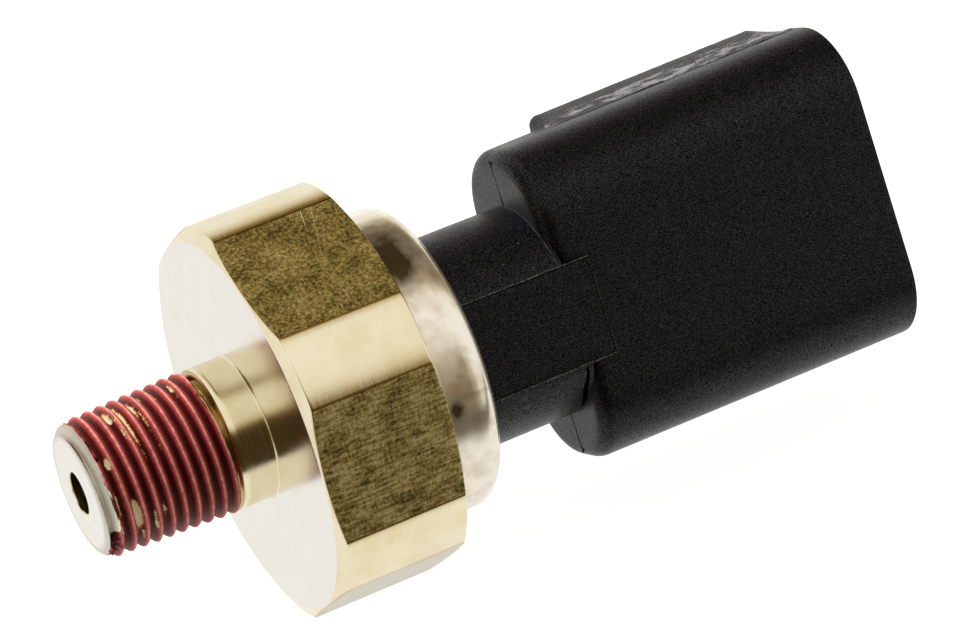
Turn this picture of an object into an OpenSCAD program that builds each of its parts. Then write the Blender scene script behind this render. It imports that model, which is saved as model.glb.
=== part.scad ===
// Engine oil pressure sender. Its axis is +X, from the thread's tip to the connector's mouth, and the
// origin is on that axis at the hexagon's thread-side face. It lies on one flat of the hexagon.

/* [Taper thread] */
// Distance from the hexagon to the thread's tip
nose_len = 12.4; // [10:0.1:16]
// Length of the plain shank between the hexagon and the thread
shank_len = 2.8; // [2:0.1:4]
// Radius of the plain shank
shank_r = 5.1; // [4.9:0.05:5.4]
// Threads along one inch
threads_per_inch = 27; // [18:1:27]
// Radius of the thread's crests at the tip
tip_crest_r = 4.78; // [4.6:0.02:4.9]
// Growth in radius along each millimetre of thread
taper = 0.03125; // [0.02:0.00125:0.04]
// Depth of the thread in the brass
thread_depth = 0.7; // [0.5:0.02:0.75]
// Width of the flat on each crest and in each root
thread_flat = 0.12; // [0.06:0.02:0.2]
// Length of the chamfer at the tip
tip_chamfer = 0.75; // [0.6:0.05:0.9]
// Radius of the flat face at the tip
tip_face_r = 4.42; // [4.2:0.02:4.6]
// Radius of the pressure port
port_r = 1.5; // [1:0.1:2]
// Countersink at the port's mouth
port_chamfer = 0.25; // [0.1:0.05:0.5]

/* [Sealant] */
// Thickness of the sealant over the crests
coat_t = 0.08; // [0.05:0.01:0.15]
// Depth of the grooves that still show in the sealant
coat_groove = 0.42; // [0.3:0.02:0.5]
// Gap that keeps the coat's solid off the brass
coat_gap = 0.01; // [0.01:0.01:0.03]

/* [Hexagon] */
// Distance across the flats
hex_af = 27; // [26:0.5:30]
// Radius that the corners are turned to
corner_r = 14.34; // [14.2:0.02:14.8]
// Length of the hexagon along the axis
hex_len = 9.7; // [9:0.1:12]
// Radius of the flat face inside the chamfer
face_r = 13.28; // [12.9:0.02:13.5]
// Angle of the chamfer from the face
chamfer_angle = 22.5; // [18:0.5:40]
// Fillet where the shank meets the hexagon
shank_fillet = 0.2; // [0.1:0.05:0.8]

/* [Crimp collar] */
// Outer radius of the collar
collar_r = 11; // [10.9:0.05:11.4]
// Distance from the hexagon's thread-side face to the end of the collar
collar_end = 14.2; // [14:0.05:14.6]
// Rounding of the collar's rolled edge
collar_round = 1.3; // [1:0.05:1.5]
// Thickness of the lip that is rolled over the connector
lip_t = 1.1; // [0.9:0.05:1.3]

/* [Cavity] */
// Distance from the hexagon's thread-side face to the floor under the cell
floor_x = 3.6; // [3.2:0.1:4]
// Radius of the cavity at the ceramic cell
cell_bore_r = 9.85; // [9.8:0.05:9.95]
// Radius of the cavity at the weather seal
seal_bore_r = 10; // [10:0.02:10.1]
// Distance from the floor to the step between the two bores
bore_step = 5.2; // [5:0.1:5.4]
// Radius of the pocket that holds the pressure seal
pocket_r = 6.6; // [6.2:0.1:7]
// Depth of that pocket
pocket_depth = 1.3; // [1:0.05:1.5]

/* [Pressure cell] */
// Thickness of the rubber ring before it is squeezed
pressure_ring_d = 1.78; // [1.7:0.02:1.9]
// Clearance round the ceramic plates
cell_clearance = 0.15; // [0.1:0.05:0.3]
// Thickness of the diaphragm
diaphragm_t = 0.5; // [0.3:0.05:0.8]
// Thickness of the glass ring
glass_t = 0.1; // [0.05:0.05:0.2]
// Radial width of the glass ring
glass_w = 1.6; // [1:0.1:2.5]
// Thickness of the ceramic base
base_t = 3; // [2:0.1:3.4]
// Radius of each pin
element_pin_r = 0.3; // [0.2:0.05:0.4]
// Depth of each pin in the ceramic base
element_pin_depth = 2; // [1:0.1:2.5]
// Radius of the circle that the pins stand on
element_pin_circle_r = 5.5; // [5.2:0.1:5.7]
// Angle between each pin and the connector's wide middle plane
element_pin_angle = 32; // [28:1:36]

/* [Circuit] */
// Radius of the board
board_r = 7.2; // [7:0.05:7.3]
// Thickness of the board
board_t = 0.8; // [0.6:0.1:1]
// Height of the ring that carries the board
support_h = 1.4; // [1.2:0.1:1.6]
// Radial width of that ring
support_w = 1.1; // [0.8:0.1:1.3]
// Length of the chip's body
chip_len = 4.9; // [4:0.1:5]
// Width of the chip's body
chip_w = 3.2; // [3:0.1:3.4]
// Height of the chip
chip_h = 1.3; // [1:0.1:1.5]
// Thickness of the chip's legs
chip_leg_t = 0.15; // [0.1:0.01:0.2]
// Width of each leg
chip_leg_w = 0.42; // [0.3:0.02:0.5]
// Spacing of the legs
chip_leg_pitch = 1.27; // [1:0.01:1.27]
// Reach of the legs beyond the chip's body
chip_leg_out = 0.6; // [0.4:0.05:0.6]
// Distance from the board's middle to the chip's middle
chip_v = 3.6; // [3.4:0.1:3.8]
// Length of each capacitor
capacitor_len = 2; // [1.6:0.1:2.1]
// Width of each capacitor
capacitor_w = 1.25; // [1:0.05:1.4]
// Height of each capacitor
capacitor_h = 0.9; // [0.6:0.05:1.1]
// Spacing of the capacitors
capacitor_pitch = 2.7; // [2.5:0.1:2.8]
// Distance from the board's middle to the row of capacitors
capacitor_v = 2.5; // [2.3:0.1:2.7]
// Length of each resistor
resistor_len = 1.6; // [1.2:0.1:1.8]
// Width of each resistor
resistor_w = 0.8; // [0.6:0.05:0.9]
// Height of each resistor
resistor_h = 0.45; // [0.3:0.05:0.6]
// Spacing of the resistors
resistor_pitch = 2.6; // [2.2:0.1:3]
// Distance from the board's middle to the row of resistors
resistor_v = 4.6; // [4.4:0.1:5]

/* [Terminals] */
// Spacing of the three terminals
terminal_pitch = 4.6; // [4.2:0.1:4.8]
// Width of each blade
blade_w = 1.5; // [1.2:0.1:2]
// Thickness of the terminal strip
blade_t = 0.8; // [0.6:0.05:0.9]
// Width of the strip where the plastic grips it
shoulder_w = 2.4; // [2.2:0.1:2.8]
// Length of each blade in the socket
blade_len = 12; // [9:0.5:14]
// Length of the taper at each blade's tip
blade_taper = 1.2; // [0.8:0.1:1.6]
// Depth of the gripped shoulder inside the plastic, from the cup and from the socket
grip_depth = 1; // [0.5:0.1:2]
// Width of the pin that goes through the board
solder_pin_w = 0.8; // [0.6:0.05:0.9]
// Length of that pin below the board
solder_pin_out = 0.5; // [0.3:0.1:0.7]
// Gap between a terminal and the plastic or the board
terminal_gap = 0.04; // [0.02:0.01:0.08]

/* [Connector flange and neck] */
// Radius of the neck
neck_r = 7.7; // [7.5:0.02:7.9]
// Gap between the neck and the rolled lip
neck_gap = 0.3; // [0.2:0.05:0.5]
// Distance from the axis to the flat on each side of the neck
neck_flat_v = 6.85; // [6.7:0.05:7.2]
// Half width of the pad that carries each flat on over the shell
pad_half = 3.5; // [2.6:0.1:4]
// Length of that pad, from the shell's base
pad_len = 2.25; // [2:0.05:3]
// Thickness of the flange under the lip
flange_t = 2.1; // [1.9:0.05:2.2]
// Gap between the flange and the bore
flange_gap = 0.15; // [0.1:0.05:0.25]
// Outer radius of the skirt that presses on the cell
skirt_r = 8.5; // [8.4:0.02:8.55]
// Gap between the skirt's inside and the board
board_gap = 0.2; // [0.15:0.05:0.3]
// Thickness of the weather seal
housing_ring_d = 1.46; // [1.3:0.02:1.48]
// Gap between the weather seal and the flange
housing_ring_gap = 0.05; // [0.02:0.01:0.1]

/* [Connector shell] */
// Distance from the hexagon's thread-side face to the shell's base
shell_x = 22.6; // [21.5:0.1:24]
// Length of the shell
shell_len = 26; // [23:0.1:28]
// Half of the shell's long width at its base
shell_half_long = 11.4; // [11.2:0.01:12.2]
// How much farther out the rim lies than the base, on the rib's side
rim_rise = 0.43; // [0:0.01:0.6]
// The same on the side away from the rib
rim_rise_low = 0.1; // [0:0.01:0.6]
// Half of the shell's short width
shell_half_short = 6.1; // [5.9:0.01:6.6]
// Radius of the shell's long edges
shell_corner_r = 5.2; // [4.5:0.05:5.6]
// Rounding of the shell's base
shell_base_round = 1.1; // [0.5:0.05:2]
// Rounding of the shell's rim
shell_rim_round = 0.2; // [0.1:0.05:0.5]
// Thickness of the shell's wall
shell_wall = 1.6; // [1.4:0.05:1.9]
// Thickness of the plastic under the socket
socket_floor_t = 5; // [4:0.1:6]
// Turn of the shell about the axis, from the flat that faces up
shell_roll = 41.3; // [0:0.1:60]
// Shift of the shell and its terminals from the neck toward the rib
shell_shift = 0.17; // [0:0.01:0.2]

/* [Keying rib] */
// Width of the rib, from its crest down to the shell
rib_w = 3.5; // [2.6:0.1:4]
// Height of the rib's crest above the shell
rib_h = 0.74; // [0.5:0.02:1.2]
// Distance from the shell's base to the rib
rib_start = 5.2; // [4:0.1:7]
// Distance from the rib to the shell's rim
rib_end_gap = 0.2; // [0.1:0.1:1]
// Length of the ramp at the rib's mouth end
rib_ramp = 2.3; // [1:0.1:3]
// Depth of the ramp's end below the shell's narrow side
rib_ramp_drop = 0.3; // [0.1:0.05:0.5]
// Rounding of the rib's other end
rib_round = 0.7; // [0.4:0.05:0.8]

/* [Hidden] */
$fn = 96;
eps = 0.01;
// Depth of the rib's foot in the shell's wall, and the share of its width that runs on under the surface
rib_root = 1.3;
rib_sink = 0.1;
brass = [0.80, 0.69, 0.42];
sealant_red = [0.60, 0.20, 0.21];
plastic_black = [0.09, 0.09, 0.10];
rubber_black = [0.05, 0.05, 0.05];
alumina = [0.93, 0.92, 0.88];
tinned = [0.76, 0.76, 0.74];

// Thread, from its tip to the shank
pitch = 25.4 / threads_per_inch;
thread_start = -nose_len + tip_chamfer;
thread_end = -shank_len;
thread_turns = floor((thread_end - thread_start) / pitch);
function crest_r(x) = tip_crest_r + (x + nose_len) * taper;
// One turn as ring points: crest, flank, root, flank. The depth and the lift above the brass can vary.
function turn_points(x, depth, lift) = [
  [x, crest_r(x) + lift],
  [x + thread_flat, crest_r(x) + lift],
  [x + pitch / 2, crest_r(x) + lift - depth],
  [x + pitch / 2 + thread_flat, crest_r(x) + lift - depth]
];
function thread_points(depth, lift) = [
  for (i = [0 : thread_turns - 1]) each turn_points(thread_start + i * pitch, depth, lift)
];
run_out_x = thread_start + thread_turns * pitch;

// Hexagon and collar
chamfer_len = (corner_r - face_r) * tan(chamfer_angle);
seat_x = collar_end - lip_t;
lip_r = neck_r + neck_gap;
step_x = floor_x + bore_step;

// Stack of the pressure cell, from the floor up
plate_r = cell_bore_r - cell_clearance;
glass_x = floor_x + diaphragm_t;
base_x = glass_x + glass_t;
cell_top = base_x + base_t;
board_x = cell_top + support_h;
board_top = board_x + board_t;
element_pin_top = board_top + solder_pin_out;

// Connector
neck_sink = 0.3;
flange_r = seal_bore_r - flange_gap;
flange_x = seat_x - flange_t;
cup_r = board_r + board_gap;
cup_x = board_top + chip_h + 2 * board_gap;
rim_x = shell_x + shell_len;
socket_x = shell_x + socket_floor_t;
socket_half_long = shell_half_long - shell_wall;
socket_half_short = shell_half_short - shell_wall;
socket_corner_r = shell_corner_r - shell_wall;
rib_x = shell_x + rib_start;
rib_end_x = rim_x - rib_end_gap;

// Turns a profile of [x, radius] points about the X axis
module turned(points) {
  rotate([0, 90, 0]) rotate([0, 0, 180]) rotate_extrude()
    polygon([for (p = points) [p[1], p[0]]]);
}

// Tube along the X axis
module tube_x(x, length, outer_r, inner_r) {
  translate([x, 0, 0]) rotate([0, 90, 0]) difference() {
    cylinder(h = length, r = outer_r);
    translate([0, 0, -eps]) cylinder(h = length + 2 * eps, r = inner_r);
  }
}

// Disc along the X axis
module disc_x(x, length, r) {
  translate([x, 0, 0]) rotate([0, 90, 0]) cylinder(h = length, r = r);
}

// Turns the connector's own frame, long way up, to its place
module rolled() {
  rotate([-shell_roll, 0, 0]) children();
}

// Turns the shell's own frame, long way up, to its place beside the axis
module at_shell() {
  rolled() on_board(0, shell_shift, 0) children();
}

// Moves a child to a place on the board: along the connector's long and short ways
module on_board(x, long, short) {
  translate([x, -short, long]) children();
}

// Box along X, with its other two sides centred: length, short way, long way
module bar(length, short, long) {
  translate([0, -short / 2, -long / 2]) cube([length, short, long]);
}

// Rounded rectangle in the connector's cross-section
module section(half_short, half_long, r) {
  square([2 * half_short - 2 * r, 2 * half_long], center = true);
  square([2 * half_short, 2 * half_long - 2 * r], center = true);
  for (s = [-1, 1], l = [-1, 1])
    translate([s * (half_short - r), l * (half_long - r)]) circle(r = r);
}

// Stands a cross-section up along X
module along_x(x, length) {
  translate([x, 0, 0]) rotate([90, 0, 90]) linear_extrude(height = length) children();
}

// Taper thread and shank, as one turned profile
module nose() {
  turned(concat(
    [[-nose_len, 0], [-nose_len, tip_face_r]],
    thread_points(thread_depth, 0),
    [
      [run_out_x, crest_r(run_out_x)],
      [max(thread_end, run_out_x + eps), shank_r],
      for (a = [0 : 22.5 : 90])
        [-shank_fillet * (1 - sin(a)), shank_r + shank_fillet * (1 - cos(a))],
      [chamfer_len, shank_r + shank_fillet],
      [chamfer_len, 0]
    ]
  ));
}

// Hexagon with turned corners and a chamfer at each face
module hexagon() {
  intersection() {
    rotate([0, 90, 0]) rotate([0, 0, 30]) cylinder(h = hex_len, r = hex_af / 2 / cos(30), $fn = 6);
    turned([
      [0, 0], [0, face_r], [chamfer_len, corner_r], [hex_len - chamfer_len, corner_r],
      [hex_len, face_r], [hex_len, 0]
    ]);
  }
}

// Collar that is rolled over the connector's flange
module collar() {
  disc_x(hex_len / 2, collar_end - collar_round - hex_len / 2, collar_r);
  translate([collar_end - collar_round, 0, 0]) rotate([0, 90, 0]) {
    rotate_extrude() intersection() {
      translate([collar_r - collar_round, 0]) circle(r = collar_round);
      square([collar_r, collar_round]);
    }
    cylinder(h = collar_round, r = collar_r - collar_round);
  }
}

// Brass fitting, turned from one bar: thread, shank, hexagon and collar
module brass_body() {
  color(brass) difference() {
    union() {
      nose();
      hexagon();
      collar();
    }
    disc_x(-nose_len - eps, nose_len + floor_x, port_r);
    turned([
      [-nose_len - eps, 0], [-nose_len - eps, port_r + port_chamfer + eps],
      [-nose_len + port_chamfer, port_r], [-nose_len + port_chamfer, 0]
    ]);
    disc_x(floor_x - pocket_depth, pocket_depth + eps, pocket_r);
    disc_x(floor_x, step_x - floor_x + eps, cell_bore_r);
    disc_x(step_x, seat_x - step_x, seal_bore_r);
    disc_x(seat_x - eps, lip_t + 2 * eps, lip_r);
  }
}

// Sealant baked into the thread: its inside follows the brass, its outside has shallower grooves
module thread_sealant() {
  inner = thread_points(thread_depth, coat_gap);
  outer = thread_points(coat_groove, coat_t);
  n = len(inner);
  color(sealant_red) turned(concat(
    outer,
    [for (i = [0 : n - 1]) inner[n - 1 - i]]
  ));
}

// Rubber ring at the port, squeezed flat between the pocket and the diaphragm
module pressure_seal_ring() {
  ring_mid_r = pocket_r - pressure_ring_d / 2 - cell_clearance;
  color(rubber_black) translate([floor_x - pocket_depth / 2, 0, 0]) rotate([0, 90, 0])
    rotate_extrude() translate([ring_mid_r, 0]) intersection() {
      circle(d = pressure_ring_d);
      square([pressure_ring_d, pocket_depth], center = true);
    }
}

// Thin plate that the oil bends
module ceramic_diaphragm() {
  color(alumina) disc_x(floor_x, diaphragm_t, plate_r);
}

// Glass that joins the two plates and sets their gap
module glass_seal_ring() {
  color([0.55, 0.62, 0.60]) tube_x(glass_x, glass_t, plate_r, plate_r - glass_w);
}

// Places the four pins: two on each side of the connector's middle plane
module at_element_pin(index) {
  turn = [element_pin_angle, 180 - element_pin_angle, 180 + element_pin_angle, -element_pin_angle];
  a = turn[index - 1];
  rolled() on_board(0, element_pin_circle_r * cos(a), element_pin_circle_r * sin(a)) children();
}

// Thick plate behind the diaphragm, with a blind hole for each pin
module ceramic_base() {
  color(alumina) difference() {
    disc_x(base_x, base_t, plate_r);
    for (i = [1 : 4])
      at_element_pin(i)
        disc_x(cell_top - element_pin_depth, element_pin_depth + eps, element_pin_r + terminal_gap);
  }
}

// Pin from the cell through the board
module element_pin(index) {
  pin_x = cell_top - element_pin_depth + terminal_gap;
  color(tinned) at_element_pin(index) disc_x(pin_x, element_pin_top - pin_x, element_pin_r);
}

// Ring that carries the board above the cell
module support_ring() {
  color([0.75, 0.73, 0.66]) tube_x(cell_top, support_h, board_r, board_r - support_w);
}

// Places the three terminals side by side along the connector's long way
module at_terminal(index) {
  rolled() on_board(0, shell_shift + (index - 2) * terminal_pitch, 0) children();
}

// Round board with holes for the cell's pins and the terminals
module circuit_board() {
  hole_r = solder_pin_w / sqrt(2) + terminal_gap;
  color([0.10, 0.35, 0.20]) difference() {
    disc_x(board_x, board_t, board_r);
    for (i = [1 : 3])
      at_terminal(i) disc_x(board_x - eps, board_t + 2 * eps, hole_r);
    for (i = [1 : 4])
      at_element_pin(i) disc_x(board_x - eps, board_t + 2 * eps, element_pin_r + terminal_gap);
  }
}

// Chip with a row of four legs on each long side
module signal_chip() {
  color([0.12, 0.12, 0.13]) rolled() on_board(board_top, 0, chip_v) {
    translate([chip_leg_t, 0, 0]) bar(chip_h - chip_leg_t, chip_w, chip_len);
    for (i = [-1.5 : 1 : 1.5])
      translate([0, 0, i * chip_leg_pitch]) bar(2 * chip_leg_t, chip_w + 2 * chip_leg_out, chip_leg_w);
  }
}

// Capacitor with a cap of solder on each end
module chip_capacitor(index) {
  color([0.62, 0.50, 0.36]) rolled() on_board(board_top, (index - 2) * capacitor_pitch, -capacitor_v)
    bar(capacitor_h, capacitor_w, capacitor_len);
}

// Flat resistor
module chip_resistor(index) {
  color([0.10, 0.10, 0.12]) rolled() on_board(board_top, (index - 1.5) * resistor_pitch, -resistor_v)
    bar(resistor_h, resistor_w, resistor_len);
}

// Terminal seen from its flat side: solder pin, shoulder that the plastic grips, blade
module terminal_outline(grow) {
  pin_x = board_x - solder_pin_out;
  grip_x = cup_x + grip_depth;
  grip_end = socket_x - grip_depth;
  tip_x = socket_x + blade_len;
  polygon([
    [pin_x, -solder_pin_w / 2 - grow], [grip_x, -solder_pin_w / 2 - grow],
    [grip_x, -shoulder_w / 2 - grow], [grip_end, -shoulder_w / 2 - grow],
    [grip_end, -blade_w / 2 - grow], [tip_x - blade_taper, -blade_w / 2 - grow],
    [tip_x, -blade_w / 4 - grow], [tip_x, blade_w / 4 + grow],
    [tip_x - blade_taper, blade_w / 2 + grow], [grip_end, blade_w / 2 + grow],
    [grip_end, shoulder_w / 2 + grow], [grip_x, shoulder_w / 2 + grow],
    [grip_x, solder_pin_w / 2 + grow], [pin_x, solder_pin_w / 2 + grow]
  ]);
}

// Terminal stamped from strip, or the space that it takes in the plastic
module terminal_strip(index, grow) {
  at_terminal(index) rotate([90, 0, 0]) linear_extrude(height = blade_t + 2 * grow, center = true)
    terminal_outline(grow);
}

module terminal(index) {
  color(tinned) terminal_strip(index, 0);
}

// Rubber ring between the bore, the skirt and the flange
module housing_seal_ring() {
  color(rubber_black) translate([flange_x - housing_ring_gap - housing_ring_d / 2, 0, 0]) rotate([0, 90, 0])
    rotate_extrude() translate([(seal_bore_r + skirt_r) / 2, 0]) circle(d = housing_ring_d);
}

// Place of the shell's narrow side on the rib's side, in the shell's own frame
function narrow_side(x) = shell_half_long + rim_rise * (x - shell_x) / shell_len;

// Outside of the shell: it grows from the base to the rim, and both are rounded
module shell_outside() {
  post = shell_half_long - shell_corner_r;
  at_shell() hull()
    for (s = [-1, 1]) {
      y = s * (shell_half_short - shell_corner_r);
      shell_edge(shell_x, y, post, shell_base_round);
      shell_edge(shell_x, y, -post, shell_base_round);
      shell_edge(rim_x, y, post + rim_rise, -shell_rim_round);
      shell_edge(rim_x, y, -post - rim_rise_low, -shell_rim_round);
    }
}

// End of one long edge of the shell: a disc whose rim is rounded at x. A rounding below nothing faces the
// mouth.
module shell_edge(x, y, z, rounding) {
  steps = 6;
  reach = rounding + 0.3 * sign(rounding);
  translate([x, y, z]) rotate([0, 90, 0]) rotate_extrude($fn = 48)
    polygon(concat(
      [[0, 0]],
      [for (i = [0 : steps])
        let (a = 90 * i / steps)
        [shell_corner_r - abs(rounding) * (1 - sin(a)), rounding * (1 - cos(a))]],
      [[shell_corner_r, reach], [0, reach]]
    ));
}

// Space that the mating plug goes into
module socket() {
  at_shell() {
    along_x(socket_x, rim_x - socket_x + eps)
      section(socket_half_short, socket_half_long, socket_corner_r);
  }
}

// Keying rib: a wedge on one narrow side of the shell. Its crest is on the far side and its top falls to
// the shell's middle line. It is rounded at the base end and ramped at the mouth.
module keying_rib() {
  steps = 3;
  at_shell() hull() {
    for (i = [0 : steps])
      let (a = 90 * i / steps)
      rib_section(rib_x + rib_round * (1 - cos(a)), rib_h - rib_round * (1 - sin(a)));
    rib_section(rib_end_x - rib_ramp, rib_h);
    rib_section(rib_end_x, -rib_ramp_drop);
  }
}

// Thin slice of the rib's wedge, with its crest at the given height above the shell
module rib_section(x, height) {
  side = narrow_side(x);
  translate([x, 0, 0]) rotate([90, 0, 90]) linear_extrude(height = eps)
    polygon([
      [rib_w, side - rib_root], [rib_w, side + height], [-rib_sink * rib_w, side - rib_sink * rib_h],
      [-rib_sink * rib_w, side - rib_root]
    ]);
}

// Neck with a flat on each wide side
module neck() {
  intersection() {
    disc_x(flange_x, shell_x + neck_sink - flange_x, neck_r);
    rolled() bar(rim_x, 2 * neck_flat_v, 2 * collar_r);
  }
}

// Pad that carries the neck's two flats on over the shell
module neck_pad() {
  rolled() translate([shell_x - neck_sink, 0, 0]) bar(neck_sink + pad_len, 2 * neck_flat_v, 2 * pad_half);
}

// Connector, moulded in one piece round the terminals: flange, skirt, neck, shell and rib
module connector_housing() {
  color(plastic_black) difference() {
    union() {
      disc_x(flange_x, flange_t, flange_r);
      disc_x(cell_top, flange_x - cell_top + eps, skirt_r);
      neck();
      neck_pad();
      shell_outside();
      keying_rib();
    }
    disc_x(cell_top - eps, cup_x - cell_top + eps, cup_r);
    socket();
    for (i = [1 : 3])
      terminal_strip(i, terminal_gap);
  }
}

brass_body();
thread_sealant();
pressure_seal_ring();
ceramic_diaphragm();
glass_seal_ring();
ceramic_base();
element_pin(1);  // element_pin_1
element_pin(2);  // element_pin_2
element_pin(3);  // element_pin_3
element_pin(4);  // element_pin_4
support_ring();
circuit_board();
signal_chip();
chip_capacitor(1);  // chip_capacitor_1
chip_capacitor(2);  // chip_capacitor_2
chip_capacitor(3);  // chip_capacitor_3
chip_resistor(1);  // chip_resistor_1
chip_resistor(2);  // chip_resistor_2
terminal(1);  // terminal_1
terminal(2);  // terminal_2
terminal(3);  // terminal_3
housing_seal_ring();
connector_housing();
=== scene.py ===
"""Engine oil pressure sender on a white ground: brass fitting, red coated pipe thread, black connector.

The row frame is in metres, X along the axis. Sizes below are in millimetres until a mesh is made. Points of the
connector are given as x, long and short: its own cross-section is rolled about the axis.
"""

import math

import bpy
import numpy as np
from mathutils import Matrix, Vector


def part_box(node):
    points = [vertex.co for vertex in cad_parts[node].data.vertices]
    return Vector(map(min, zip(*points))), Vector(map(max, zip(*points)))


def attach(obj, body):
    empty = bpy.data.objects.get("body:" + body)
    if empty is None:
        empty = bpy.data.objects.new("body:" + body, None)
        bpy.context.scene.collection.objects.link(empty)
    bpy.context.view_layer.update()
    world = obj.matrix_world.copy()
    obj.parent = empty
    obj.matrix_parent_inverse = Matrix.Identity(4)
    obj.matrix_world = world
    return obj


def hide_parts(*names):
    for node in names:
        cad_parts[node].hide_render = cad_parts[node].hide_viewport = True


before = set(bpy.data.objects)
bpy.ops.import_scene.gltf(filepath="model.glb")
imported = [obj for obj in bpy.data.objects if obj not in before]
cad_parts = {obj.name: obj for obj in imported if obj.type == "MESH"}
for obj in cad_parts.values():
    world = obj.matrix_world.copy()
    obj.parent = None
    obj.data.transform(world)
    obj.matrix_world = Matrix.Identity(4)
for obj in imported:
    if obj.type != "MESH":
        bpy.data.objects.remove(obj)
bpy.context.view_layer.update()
MM = 0.001


def cad_box_mm(node):
    """Lowest and highest corner of a CAD node, in millimetres."""
    low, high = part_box(node)
    return np.array(low) / MM, np.array(high) / MM


# Brass fitting, from the tip of the thread to the rolled lip
FITTING_LOW, FITTING_HIGH = cad_box_mm("brass_body")
TIP_X = FITTING_LOW[0]
COLLAR_END = FITTING_HIGH[0]
FLAT_R = FITTING_HIGH[2]
CORNER_R = FITTING_HIGH[1]
TIP_FACE_R = 4.42
TIP_CHAMFER = 0.75
TIP_ROUND = 0.22
PORT_R = 1.5
PORT_CHAMFER = 0.08
PITCH = 25.4 / 27
TIP_CREST_R = 4.78
TAPER = 1 / 32
THREAD_DEPTH = 0.7
THREAD_FLAT = 0.12
CREST_X = -11.02
RUN_OUT_X = -2.53
RUN_OUT_LEN = 0.5
SHANK_R = 5.1
SHANK_FILLET = 0.1
FACE_R = 13.28
HEX_LEN = 9.7
CHAMFER_LEN = (CORNER_R - FACE_R) * math.tan(math.radians(22.5))
EDGE_ROUND = 0.1
COLLAR_R = 11.0
COLLAR_ROUND = 1.3
LIP_R = 8.04
SEAT_X = 13.1
SEAL_BORE_R = 10.0
STEP_X = 8.8
CELL_BORE_R = 9.85
FLOOR_X = 3.6
POCKET_R = 6.6
POCKET_X = 2.3

# Red coat on the thread
COAT_T = 0.09
COAT_GROOVE = 0.46

# Connector moulding. The shell grows from GROW_X to GROWN_X, most on the rib's side.
SHELL_ROLL = math.radians(41.3)
SHELL_SHIFT = 0.17
HOUSING_LOW, HOUSING_HIGH = cad_box_mm("connector_housing")
SHELL_X = 22.6
RIM_X = HOUSING_HIGH[0]
SHELL_LONG = 11.4
SHELL_SHORT = 6.1
SHELL_CORNER = 5.2
SHELL_WALL = 1.6
RIM_RISE = 0.43
RIM_RISE_LOW = 0.1
GROW_X = SHELL_X + 1.1
GROWN_X = RIM_X - 0.5
BASE_ROUND = 1.1
RIM_ROUND = 0.2
SOCKET_X = SHELL_X + 5
NECK_R = 7.7
NECK_FLAT = 6.85
PAD_HALF = 3.5
PAD_END = SHELL_X + 2.25
RIB_WIDTH = 3.5
RIB_HEIGHT = 0.74
RIB_START = SHELL_X + 5.2
RIB_END = RIM_X - 0.2
RIB_RAMP = 2.3
RIB_RAMP_DROP = 0.3
RIB_ROUND = 0.7

# Where the mould's parting line crosses the shell's base
PARTING_AT = 0.5

# Camera fitted to the photograph
CAMERA_PLACE = (-69.41, -149.16, 193.65)
CAMERA_RIGHT = (0.87333, -0.48671, 0.02034)
CAMERA_DOWN = (-0.35013, -0.65619, -0.66845)
CAMERA_LENS = 140.2
FLOOR_Z = FITTING_LOW[2]


# ---------------------------------------------------------------- surfaces


def rounded_path(corners, steps=6):
    """Meridian through (x, r, rounding) corners: each rounding is an arc tangent to both of its sides."""
    path = []
    for i, (x, r, rounding) in enumerate(corners):
        here = np.array([x, r], float)
        if not rounding:
            path.append(here[None])
            continue
        back = np.array(corners[i - 1][:2]) - here
        on = np.array(corners[(i + 1) % len(corners)][:2]) - here
        back, on = back / np.linalg.norm(back), on / np.linalg.norm(on)
        half = 0.5 * math.acos(np.clip(back @ on, -1, 1))
        middle = (back + on) / np.linalg.norm(back + on)
        centre = here + middle * rounding / math.sin(half)
        first = here + back * rounding / math.tan(half) - centre
        last = here + on * rounding / math.tan(half) - centre
        turn = math.pi - 2 * half
        t = np.linspace(0, 1, steps + 1)[:, None]
        path.append(centre + (np.sin((1 - t) * turn) * first + np.sin(t * turn) * last) / math.sin(turn))
    return np.concatenate(path)


def subdivided(path, step):
    """The same path with points added, so that none of its sides is longer than step."""
    sides = np.linalg.norm(np.diff(path, axis=0), axis=1)
    counts = np.maximum(np.ceil(sides / step).astype(int), 1)
    index = np.repeat(np.arange(len(sides)), counts)
    within = np.concatenate([np.arange(n) / n for n in counts])[:, None]
    return np.concatenate([path[index] * (1 - within) + path[index + 1] * within, path[-1:]])


def smooth_min(a, b, width):
    """The smaller of a and b, blended over width where they cross."""
    return 0.5 * (a + b - np.sqrt((a - b) ** 2 + width**2))


def smooth_step(t):
    """0 below 0, 1 above 1, and an S between them."""
    t = np.clip(t, 0, 1)
    return t * t * (3 - 2 * t)


def lumps(points, size, seed):
    """Smooth random field from -1 to 1 over points, with lumps of about the given size in millimetres."""
    table = np.random.default_rng(seed).uniform(-1, 1, (32, 32, 32))
    q = points / size
    cell = np.floor(q).astype(int)
    f = q - cell
    f = f * f * (3 - 2 * f)
    total = 0
    for corner in np.ndindex(2, 2, 2):
        i, j, k = np.moveaxis((cell + corner) % 32, -1, 0)
        weight = np.prod(np.where(corner, f, 1 - f), axis=-1)
        total = total + weight * table[i, j, k]
    return total


def around_axis(x, r, angle):
    """Points at radius r and angle from +Y towards +Z."""
    return np.stack(np.broadcast_arrays(x, r * np.cos(angle), r * np.sin(angle)), -1)


def in_connector(x, long, short):
    """Points of the connector's own cross-section, rolled to their place."""
    s, c = math.sin(SHELL_ROLL), math.cos(SHELL_ROLL)
    x, long, short = np.broadcast_arrays(x, long, short)
    return np.stack([x, long * s - short * c, long * c + short * s], -1)


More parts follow.
